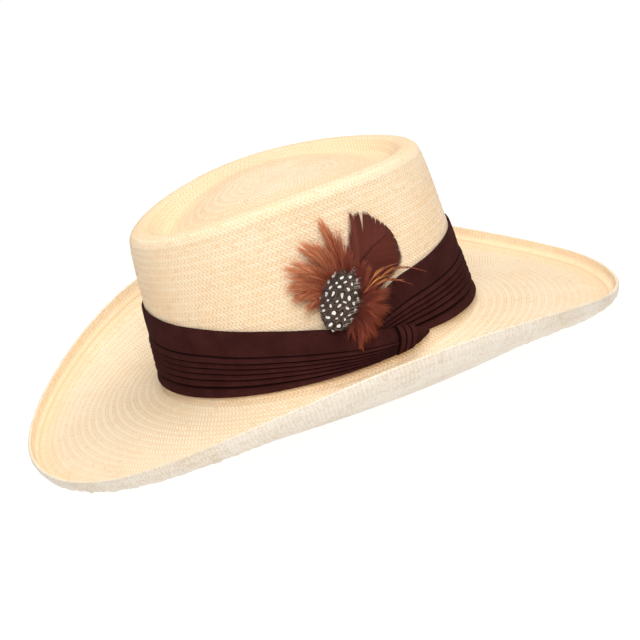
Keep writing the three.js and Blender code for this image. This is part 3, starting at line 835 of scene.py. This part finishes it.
clothFinish = {
    "cloth": rgb(60, 29, 27),
    "worn": rgb(70, 36, 34),
    # the crease colour: painted shade in the band's and the keeper's creases; the dark slubs take it too
    "crease": rgb(15, 4, 4),
    "sheen": rgb(170, 60, 50),
    "threads": 2.2,  # threads in a millimetre
    "threadDepth": 0.25,  # heights as shares of the bump
    "softDepth": 4.0,
    "bump": 0.12,  # mm
    "softScale": 90.0,
    "slubScale": 900.0,
    "wornFrom": (0.3, 0.75),
    "slubShare": 0.35,
    # how far the painted crease shade goes over to the crease colour
    "creaseShadeStrength": 0.95,
}


def clothMaterial():
    # plain weave: two crossed waves of threads raise it, soft patches vary the dye, and the creases get
    # painted shade
    look = clothFinish
    material, tree, shader = newMaterial("brown cloth", {
        "Roughness": 0.95, "Specular IOR Level": 0.05, "Sheen Weight": 0.03, "Sheen Roughness": 0.5,
        "Sheen Tint": look["sheen"]})
    times, timesPlus, _ = sums(tree)
    place = objectCoordinates(tree)
    split = addNode(tree, "SeparateXYZ", uvNode(tree, "cloth")).outputs
    turn = 2 * math.pi * look["threads"]
    warp, weft = (mathNode(tree, "SINE", times(split[axis], turn)) for axis in "XY")
    soft = noiseNode(tree, place, look["softScale"], 3.0)
    slub = noiseNode(tree, place, look["slubScale"])
    dye = mixNode(tree, rangeNode(tree, soft, *look["wornFrom"]), look["cloth"], look["worn"])
    fleck = mixNode(tree, times(slub, look["slubShare"]), dye, look["crease"])
    # painted shade in the creases
    creaseShade = times(attributeNode(tree, "crease"), look["creaseShadeStrength"])
    fill(shader, {"Base Color": mixNode(tree, creaseShade, fleck, look["crease"])})
    height = timesPlus(times(warp, weft), look["threadDepth"], timesPlus(soft, look["softDepth"], slub))
    bumpTo(tree, shader, height, look["bump"])
    return material


cloth = clothMaterial()
dress(makeBand(), cloth, "band_cloth", "pleated_band")
dress(makeKeeper(), cloth, "band_cloth", "band_keeper")


# Feathers, made of barbs that lie on the crown. In the trim's own patch a point is (across, up,
# off) in mm: across runs to the back from the middle of the wearer's left, up is the height, and
# off is the distance off the straw.

patch = {"middle": 90, "perDegree": 1.68}


def onPatch(points):
    across, up, off = np.moveaxis(points, -1, 0)
    return onCrown(patch["middle"] + across / patch["perDegree"], up, off)


def barbMesh(name, lines, widths, tones, flat=0.5, plan=None):
    # lines are barbs x steps x 3 in the patch, root to tip. Each barb is a three-sided tube that
    # is widest near its root and closes to a point. plan is an optional 2-D place for the finish.
    count, steps = lines.shape[:2]
    centre = onPatch(lines)
    outward = unit(onPatch(lines + [0, 0, 1.0]) - centre)
    along = unit(np.gradient(centre, axis=1))
    side = unit(np.cross(outward, along))
    up = np.cross(along, side)
    angle = np.radians([90, 210, 330])
    t = np.linspace(0, 1, steps)
    radius = np.broadcast_to(widths, (count,))[:, None] / 2 * (1 - t**2.5) ** 0.8
    sides = side[:, :-1, None] * np.cos(angle)[:, None] + up[:, :-1, None] * (flat * np.sin(angle))[:, None]
    rings = centre[:, :-1, None] + sides * radius[:, :-1, None, None]
    points = join([rings.reshape(count, -1, 3), centre[:, -1:]], 1)
    size = points.shape[1]

    corner = np.arange(3)
    after = (corner + 1) % 3
    ring = np.arange(steps - 2)[:, None] * 3
    quads = np.stack([ring + corner, ring + after, ring + 3 + after, ring + 3 + corner], -1)
    last = (steps - 2) * 3
    tips = np.stack([last + corner, last + after, 0 * corner + size - 1], -1)
    ends = join([tips, [[0, 2, 1]]])
    start = (np.arange(count) * size)[:, None, None]
    faceSets = [(quads.reshape(-1, 4)[None] + start).reshape(-1, 4), (ends[None] + start).reshape(-1, 3)]

    def perPoint(values):
        # a value for each step of each barb, given to the three corners of its ring
        return join([np.repeat(values[:, :-1], 3, axis=1), values[:, -1:]], 1)

    given = {"along": t, "tone": np.reshape(tones, (count, 1))}
    shades = {label: perPoint(np.broadcast_to(given[label], (count, steps))) for label in given}
    uvMaps = {} if plan is None else {"plan": perPoint(plan)}
    return buildMesh(name, points, faceSets, uvMaps, shades)


def curve(start, aim, end, t):
    # the quadratic curve from start to end that sets off towards aim
    return start * (1 - t) ** 2 + 2 * aim * t * (1 - t) + end * t**2


def bentBarbs(start, aim, end, steps, cut=1.0):
    # a curve for each barb, cut off at a share of the way
    t = np.linspace(0, 1, steps)[None, :] * np.reshape(cut, (-1, 1))
    return curve(start[:, None], aim[:, None], end[:, None], t[..., None])


def lifted(flatLines, off):
    return join([flatLines, np.asarray(off)[..., None]], -1)


broadForm = {
    "root": (2, 66),
    "shaft": ((2, 67), (9.6, 86), (40, 92)),
    "shaftWidth": 0.75,
    "barbs": 1150, "steps": 9, "width": 0.5,
    "clump": 23,  # barbs that share a tone
    "tones": (0.45, 0.35, 0.25),  # how clump, chance and lying in the first lobe move a barb's tone
    "lobe": 68,  # from this angle on
    "shaftTone": -0.6,
    "off": 0.7, "lift": 2.2,
    "middle": 35,  # the angle at which the shaft reaches the outline
    "outline": np.array([  # angle round the root, and how far the vane reaches
        (104, 9), (92, 14), (84, 20), (76, 30), (74.5, 40), (73.8, 48.9), (69, 47.8), (67, 48.9),
        (59, 49.4), (53.6, 48), (46.5, 47.2), (41.9, 46.8), (29.7, 44.8), (23.8, 43.6), (12, 40.8),
        (7, 37), (0, 26), (-12, 12)]),
    "splits": np.array([  # angle, depth as a share of a barb and half width of each split
        (70.5, 0.12, 0.7), (64.2, 0.46, 1.4), (54.6, 0.12, 0.5), (51.2, 0.2, 0.6), (46.2, 0.15, 0.5),
        (42.2, 0.14, 0.5), (37, 0.07, 0.4), (28.6, 0.14, 0.5), (18, 0.08, 0.4)]),
}


def broadFeather():
    # barbs run from the shaft to the outline, leaving it at a slant; those in a split are cut short
    form = broadForm
    low, high, middle = form["outline"][-1, 0], form["outline"][0, 0], form["middle"]
    angle = np.linspace(low, high, form["barbs"])
    reach = np.interp(angle, form["outline"][::-1, 0], form["outline"][::-1, 1])
    cut = 1 - 0.025 * draw.random(len(angle))
    for at, depth, width in form["splits"]:
        cut = cut - depth * np.clip(1 - np.abs(angle - at) / width, 0, 1)
    root, turn = np.array(form["root"], float), np.radians(angle)
    end = root + reach[:, None] * np.stack([np.cos(turn), np.sin(turn)], -1)
    share = np.where(angle > middle, (high - angle) / (high - middle), (angle - low) / (middle - low))
    share = (np.clip(share, 0, 1) ** 1.1 * 0.96)[:, None]
    a, b, c = (np.array(p, float) for p in form["shaft"])
    start = curve(a, b, c, share)
    tangent = unit((b - a) * (1 - share) + (c - b) * share)
    length = lengthOf(end - start)[..., None]
    aim = start + (end - start) * 0.45 + tangent * length * 0.1
    lines = bentBarbs(start, aim, end, form["steps"], cut)
    shaft = bentBarbs(a[None], b[None], c[None], form["steps"])

    def raised(line, layer):
        away = lengthOf(line - root)
        return lifted(line, form["off"] + form["lift"] * (away / 50) ** 2 + layer)

    layer = 0.12 * ((np.arange(len(angle)) * 0.618) % 1)
    everyLine = join([raised(lines, layer[:, None]), raised(shaft, 0.3)])
    clump = np.repeat(draw.random(len(angle) // form["clump"] + 1), form["clump"])[: len(angle)]
    byClump, chance, byLobe = form["tones"]
    tones = byClump * clump + chance * draw.random(len(angle)) + byLobe * (angle > form["lobe"])
    widths = join([np.full(len(lines), form["width"]), [form["shaftWidth"]]])
    tones = join([tones, [form["shaftTone"]]])
    return barbMesh("broad_feather_vane", everyLine, widths, tones, flat=0.3)


# A hackle is a slim feather: a bowed shaft with barbs that lean along it and hang together in
# wisps. One row a feather: tip across, up and off; bow; length of a barb, its slant and how far it
# turns on, in degrees; how loosely its ends spread; how pointed the feather is; number of barbs;
# and its tone from 0 deep to 1 pale.
hackleForm = {
    "steps": 5,
    "wisps": 22,  # along one side of a feather
    "spread": (0.35, 0.3, 0.5),  # how far barbs turn to their own side, with their wisp and by chance
    "depth": (0.8, 0.3),  # mm that ends lie deeper or higher by chance, and with their wisp
    "tones": (0.16, 0.1, 0.12),  # how depth (painted shade: barbs that lie deeper are darker), wisp and chance move a barb's tone
}


def leftOf(vectors):
    return np.stack([-vectors[..., 1], vectors[..., 0]], -1)


def shaftAt(form, rows, t):
    # across, up and off along bowed shafts, for each row at its own t
    root = np.array(form["root"], float)
    line = rows[..., :3] - root
    bow = rows[..., 3] * np.sin(np.pi * t)
    points = root + line * t[..., None]
    points[..., :2] += leftOf(unit(line[..., :2])) * bow[..., None]
    return points


def hackleLines(form):
    # the barbs of every feather and the shafts, as lines in the patch, with their tones
    rows, bare, steps, wisps = form["feathers"], form["bare"], hackleForm["steps"], hackleForm["wisps"]
    pick = np.repeat(np.arange(len(rows)), rows[:, 9].astype(int))
    barb, slant, sweep, loose, point, _, tone = rows[pick, 4:].T
    t = bare + (0.8 + 0.19 * point - bare) * draw.random(len(pick))
    hand = np.where(draw.random(len(pick)) < 0.5, 1.0, -1.0)
    wisp = (np.floor(t * wisps) + (wisps + 2) * (hand > 0) + 2 * (wisps + 2) * pick).astype(int)
    wispDraw = draw.normal(0, 1, (wisp.max() + 1, 3))[wisp]
    start = shaftAt(form, rows[pick], t)
    ahead, behind = (shaftAt(form, rows[pick], t + step)[:, :2] for step in (0.02, -0.02))
    tangent = unit(ahead - behind)
    close = 1 - point * (1 - np.clip(1 - t, 0, 1) ** 0.45)
    first = hand * np.radians(slant) * (0.2 + 0.8 * close * draw.uniform(0.2, 1.2, len(pick)))
    own, shared, chance = hackleForm["spread"]
    spread = own * hand + shared * hand * wispDraw[:, 0] + chance * draw.normal(0, 1, len(pick))
    final = first * 0.5 + np.radians(sweep) + loose * (0.4 + 0.6 * close) * spread
    reach = barb * (1 - (0.4 + 0.42 * point) * t**1.6)
    reach = reach * (1 + 0.12 * wispDraw[:, 1]) * draw.uniform(0.55, 1.1, len(pick))
    heading, landing = (
        tangent * np.cos(a)[:, None] + leftOf(tangent) * np.sin(a)[:, None] for a in (first, final))
    aim = start[:, :2] + heading * reach[:, None] * 0.5
    barbs = bentBarbs(start[:, :2], aim, aim + landing * reach[:, None] * 0.5, steps)
    chance, shared = hackleForm["depth"]
    depth = draw.uniform(-chance, chance, len(pick)) + shared * wispDraw[:, 2]
    rise = np.linspace(0.2, 1, steps)[None, :]
    off = start[:, 2:] + depth[:, None] * rise * np.minimum(barb / 12, 1)[:, None]
    # barbs that lie deeper get a darker tone: painted shade
    shadeByDepth, byWisp, chance = hackleForm["tones"]
    tones = tone + form["rise"] * (t - 0.65) + shadeByDepth * depth + byWisp * wispDraw[:, 1]
    tones = tones + draw.normal(0, chance, len(pick))
    shafts = shaftAt(form, rows[:, None], np.linspace(0, 1, steps)[None])
    return join([lifted(barbs, off), shafts]), join([tones, rows[:, 10]])


plumeForm = {
    "root": (-3, 65, 4.8), "bare": 0.0, "width": 0.17, "shaft": 0.2, "rise": 0.95,
    "feathers": np.array([
        (-3, 110, 6.8, -3, 25, 20, 4, 0.12, 0.9, 1500, 0.5),
        (-8, 98, 7.2, -2, 21, 14, 5, 0.12, 0.8, 450, 0.45),
        (-15, 99.5, 6.6, -4, 24, 21, 7, 0.18, 0.7, 1800, 0.52),
        (-10, 88, 7.2, -1, 17, 26, 6, 0.35, 0.2, 600, 0.36),
        (-23, 92, 7, -3, 21, 22, 12, 0.26, 0.5, 1300, 0.56),
        (-27, 85, 6.4, -3.5, 19, 28, 16, 0.4, 0.2, 900, 0.58),
        (-28.5, 78, 7, -3.5, 19, 30, 14, 0.45, 0.1, 1200, 0.62),
        (-23, 71.5, 6.2, -2, 16, 36, 10, 0.55, 0, 850, 0.52),
        (-17, 65, 6.2, -1, 10, 34, 8, 0.6, 0, 380, 0.5),
    ]),
}
skirtForm = {
    **plumeForm, "root": (-1, 65, 4.8),
    "feathers": np.array([
        (5, 88, 6.4, -1, 14, 28, -6, 0.45, 0.2, 700, 0.4),
        (11, 83, 6.2, -2, 13, 32, -8, 0.5, 0.1, 700, 0.35),
        (15, 74, 6.2, -1.5, 14, 34, -8, 0.5, 0.1, 800, 0.4),
        (17, 66, 6.2, -2, 15, 36, -6, 0.55, 0, 1100, 0.5),
        (15.5, 58, 6.2, -2, 16, 36, -8, 0.55, 0, 1200, 0.55),
        (11.5, 52, 6.2, -1, 15, 34, -8, 0.5, 0.1, 1100, 0.5),
        (8.5, 46.5, 6.2, 0, 14, 30, -6, 0.45, 0.3, 900, 0.5),
        (4.5, 42.5, 6.3, 1, 14, 26, 0, 0.4, 0.5, 800, 0.45),
        (-0.5, 41, 6.2, 1.5, 14, 26, 6, 0.4, 0.5, 800, 0.45),
        (-3.5, 37.5, 6.4, 1.5, 13, 20, 6, 0.32, 0.7, 500, 0.4),
        (-7, 45, 6.2, 1, 11, 30, 6, 0.45, 0.3, 400, 0.35),
    ]),
}
saddleForm = {
    "root": (7, 66, 7.4), "bare": 0.25, "width": 0.24, "shaft": 0.55, "rise": -0.8,
    "feathers": np.array([
        (34, 74, 7.9, 4, 7, 9, 0, 0.1, 1, 260, 0.55),
        (50, 62, 7.8, 8, 8, 7, 0, 0.06, 1, 460, 0.5),
        (37, 59.5, 7.7, 5, 7, 9, 0, 0.08, 1, 320, 0.5),
        (29, 69, 8.1, 3, 5, 6, 0, 0.05, 1, 160, 0.9),
    ]),
}


def hackles(name, form):
    lines, tones = hackleLines(form)
    count = len(form["feathers"])
    widths = form["width"] * draw.uniform(0.6, 1.25, len(lines) - count)
    return barbMesh(name, lines, join([widths, np.full(count, form["shaft"])]), tones)


guineaForm = {
    "root": (-15.5, 51.5), "tip": (2.5, 83), "half": 11.2,
    "barbs": 560, "steps": 9, "width": 0.55,
    "off": 7.6, "arch": 1.5,
    "loose": 0.12,  # share of one side's barbs whose white ends stand out past the outline
    "looseReach": 3.0,  # and how far they do at most
}


def guineaFeather():
    # an oval vane: barbs from the shaft to the outline half sin(pi t)^0.5, arched across its width
    form = guineaForm
    root, tip = np.array(form["root"], float), np.array(form["tip"], float)
    length = np.linalg.norm(tip - root)
    forward = (tip - root) / length
    side = np.array([-forward[1], forward[0]])
    count = form["barbs"]
    outlineT = np.tile(np.linspace(0.03, 1, count // 2), 2)
    hand = np.repeat([1.0, -1.0], count // 2)
    loose = (draw.random(count) < form["loose"]) * draw.random(count) * (hand < 0)
    wide = form["half"] * np.sin(np.pi * np.clip(outlineT, 0.02, 0.98)) ** 0.5
    wide = wide * (1 + draw.normal(0, 0.03, count))
    startT = np.clip(outlineT * 1.12 - 0.24, 0, 0.96)
    start = np.stack([0 * startT, startT * length], -1)
    end = np.stack([hand * wide, outlineT * length + draw.normal(0, 0.3, count)], -1)
    end = end + unit(end - start) * (form["looseReach"] * loose)[:, None]
    reach = lengthOf(end - start)
    aim = start + np.stack([hand * reach * 0.25, reach * 0.35], -1)
    plan = bentBarbs(start, aim, end, form["steps"])
    flat = root + plan[..., :1] * side + plan[..., 1:] * forward
    arch = form["arch"] * (1 - (plan[..., 0] / form["half"]) ** 2)
    off = form["off"] + arch + 0.2 * draw.random(count)[:, None] + 0.6 * loose[:, None]
    tones = 0.8 * draw.random(count) + 2.0 * (loose > 0)
    widths = form["width"] * (1 - 0.5 * (loose > 0))
    return barbMesh("guinea_vane", lifted(flat, off), widths, tones, flat=0.35, plan=plan)


# The finish of the feathers.

featherLook = {  # deep, middle and pale; how far the colour runs along a barb; and the gloss
    "dark feather": ((74, 23, 14), (93, 37, 25), (119, 58, 42), 0.25, 0.2),
    "rust feather": ((76, 22, 12), (150, 63, 35), (236, 156, 108), 0.56, 0.3),
    "deep rust feather": ((60, 17, 10), (120, 45, 28), (186, 98, 66), 0.32, 0.25),
    "amber feather": ((98, 26, 14), (152, 64, 28), (226, 154, 72), 0.1, 0.6),
    "spotted feather": ((38, 25, 20), (68, 49, 41), (112, 88, 76), 0.1, 0.3),
}


barbLook = {
    "stops": (0.0, 0.6, 1.3),  # the tones of the deep, middle and pale colour
    "roughness": (0.1, 0.45),
}


def barbGroup():
    # the colour runs from the root's to the tip's along a barb, and a barb's own tone moves it
    tree, given, made = newGroup(
        "barb tone", {"Color": ("Deep", "Middle", "Pale"), "Float": ("Along Share",)},
        {"Color": ("Color",), "Float": ("Roughness",)})
    _, timesPlus, _ = sums(tree)
    tone = timesPlus(attributeNode(tree, "along"), given["Along Share"], attributeNode(tree, "tone"))
    first, second, third = barbLook["stops"]
    color = mixNode(tree, rangeNode(tree, tone, first, second), given["Deep"], given["Middle"])
    color = mixNode(tree, rangeNode(tree, tone, second, third), color, given["Pale"])
    fill(made, {"Color": color, "Roughness": timesPlus(tone, *barbLook["roughness"])})
    return tree


barbTones = barbGroup()


def placeBarbs(tree, name):
    # the colour and roughness of a feather's barbs
    *colours, alongShare, _ = featherLook[name]
    values = {label: rgb(*colour) for label, colour in zip(("Deep", "Middle", "Pale"), colours)}
    return placeGroup(tree, barbTones, {**values, "Along Share": alongShare})


def featherMaterial(name):
    gloss = {"Specular IOR Level": featherLook[name][-1], "Sheen Weight": 0.05}
    material, tree, shader = newMaterial(name, gloss)
    barb = placeBarbs(tree, name)
    fill(shader, {"Base Color": barb["Color"], "Roughness": barb["Roughness"]})
    return material


guineaSpots = {
    "across": 4.6, "along": 6.8,  # mm between the rows of spots; every second row is shifted
    "stretch": 0.85,
    "bend": (5.0, 6.0, 0),  # how far noise moves them, mm across and along
    "bendScale": 0.16,
    "spot": 0.8, "ring": 1.34,  # half widths of a white spot and of the black ring round it
    "halo": 1.6,  # and of the thin pale line round that
    "haloShare": 0.25,
    "white": rgb(246, 242, 235), "black": rgb(15, 10, 10), "line": rgb(176, 160, 146),
}


def spottedMaterial(name):
    # white ovals with a black ring and a thin pale line round it on streaked grey brown: the distance
    # to the nearest point of two crossed grids on the feather's own plan, bent a little by noise
    form = guineaSpots
    gloss = {"Specular IOR Level": featherLook[name][-1], "Roughness": 0.55}
    material, tree, shader = newMaterial(name, gloss)
    times, _, minus = sums(tree)
    vector = partial(vectorMath, tree)
    across, along = form["across"], form["along"]
    bend = noiseNode(tree, uvNode(tree, "plan"), form["bendScale"], 1.0, "Color")
    place = vector("ADD", uvNode(tree, "plan"), vector("MULTIPLY", bend, form["bend"]))
    away = []
    for shift in (0.0, 0.5):
        cell = vector("ADD", vector("DIVIDE", place, (across, along, 1)), (shift, shift, 0))
        inside = vector("SUBTRACT", vector("FRACTION", cell), (0.5, 0.5, 0))
        away.append(vector("LENGTH", vector("MULTIPLY", inside, (across, along * form["stretch"], 0))))
    distance = mathNode(tree, "MINIMUM", *away)
    ring = rangeNode(tree, distance, form["ring"] - 0.1, form["ring"] + 0.2, 1.0, 0.0)
    offLine = mathNode(tree, "ABSOLUTE", minus(distance, form["halo"]))
    halo = rangeNode(tree, offLine, 0.05, 0.25, form["haloShare"], 0.0)
    spot = rangeNode(tree, distance, form["spot"] - 0.1, form["spot"] + 0.15, 1.0, 0.0)
    loose = mathNode(tree, "GREATER_THAN", attributeNode(tree, "tone"), 1.5)
    tip = times(loose, rangeNode(tree, attributeNode(tree, "along"), 0.55, 0.85))
    ground = mixNode(tree, halo, placeBarbs(tree, name)["Color"], form["line"])
    dark = mixNode(tree, ring, ground, form["black"])
    light = mathNode(tree, "MAXIMUM", spot, tip)
    fill(shader, {"Base Color": mixNode(tree, light, dark, form["white"])})
    return material


dress(broadFeather(), featherMaterial("dark feather"), "dark_feather", "broad_feather")
for name, form, finish, slotName, cadNode in (
        ("hackle_barbs", plumeForm, "rust feather", "rust_feather", "hackle_plume"),
        ("hackle_skirt", skirtForm, "deep rust feather", "rust_feather", "hackle_plume"),
        ("saddle_hackle_barbs", saddleForm, "amber feather", "amber_feather", "saddle_hackles")):
    dress(hackles(name, form), featherMaterial(finish), slotName, cadNode)
dress(guineaFeather(), spottedMaterial("spotted feather"), "spotted_feather", "guinea_feather")


# Floor, light and camera.

stage = {
    "floorSize": 14.0,  # metres
    "floor": rgb(120, 120, 120),
    "paper": rgb(128, 128, 128),
    "glow": 0.88,  # the floor is lit from below like a product table
    "world": 0.25,
    "lights": {  # azimuth and elevation as the camera's, distance and size in metres, watts
        "key": (75, 42, 2.2, 1.1, 27.5),
        "top": (160, 80, 2.4, 1.8, 41.5),
    },
}
cameraView = {
    "azimuth": 73.72, "elevation": 18.33, "roll": 14.71, "distance": 1166.5, "lens": 105.9,
    "pivot": (0, 0, 50),  # mm, what the distance is measured from
    "aim": (6.35, 1.44, 32.83),
}


def direction(azimuth, elevation):
    # towards the camera: azimuth 0 stands in front of the hat, 90 at the wearer's left
    a, e = math.radians(azimuth), math.radians(elevation)
    return Vector((math.sin(a) * math.cos(e), -math.cos(a) * math.cos(e), math.sin(e)))


def makeStage():
    white = (1, 1, 1, 1)
    half = stage["floorSize"] / 2
    corners = np.array([[-half, -half, 0], [half, -half, 0], [half, half, 0], [-half, half, 0]])
    floor = buildMesh("floor", corners / metresPerMm, [np.array([[0, 1, 2, 3]])])
    material, tree, shader = newMaterial("floor paper", {
        "Roughness": 0.9, "Emission Color": white, "Emission Strength": stage["glow"]})
    paper = noiseNode(tree, objectCoordinates(tree), 2.0)
    fill(shader, {"Base Color": mixNode(tree, paper, stage["floor"], stage["paper"])})
    floor.data.materials.append(material)

    world = bpy.data.worlds.new("studio")
    world.use_nodes = True
    fill(world.node_tree.nodes["Background"], {"Color": white, "Strength": stage["world"]})
    scene.world = world

    for name, (azimuth, elevation, distance, size, power) in stage["lights"].items():
        lamp = bpy.data.lights.new(name, "AREA")
        lamp.size = size
        lamp.energy = power
        holder = bpy.data.objects.new(name, lamp)
        away = direction(azimuth, elevation)
        holder.location = away * distance
        holder.rotation_euler = away.to_track_quat("Z", "Y").to_euler()
        scene.collection.objects.link(holder)
    print("stage: floor, world and", len(stage["lights"]), "lights")


def makeCamera():
    lens = bpy.data.cameras.new("camera")
    lens.sensor_width = 36
    lens.lens = cameraView["lens"]
    camera = bpy.data.objects.new("camera", lens)
    scene.collection.objects.link(camera)
    away = direction(cameraView["azimuth"], cameraView["elevation"]) * cameraView["distance"]
    place = (Vector(cameraView["pivot"]) + away) * metresPerMm
    look = place - Vector(cameraView["aim"]) * metresPerMm
    roll = Matrix.Rotation(-math.radians(cameraView["roll"]), 3, "Z")
    turn = look.to_track_quat("Z", "Y").to_matrix() @ roll
    camera.matrix_world = Matrix.Translation(place) @ turn.to_4x4()
    scene.camera = camera
    print("camera:", cameraView["lens"], "mm")


makeStage()
makeCamera()
scene.view_settings.view_transform = "Standard"
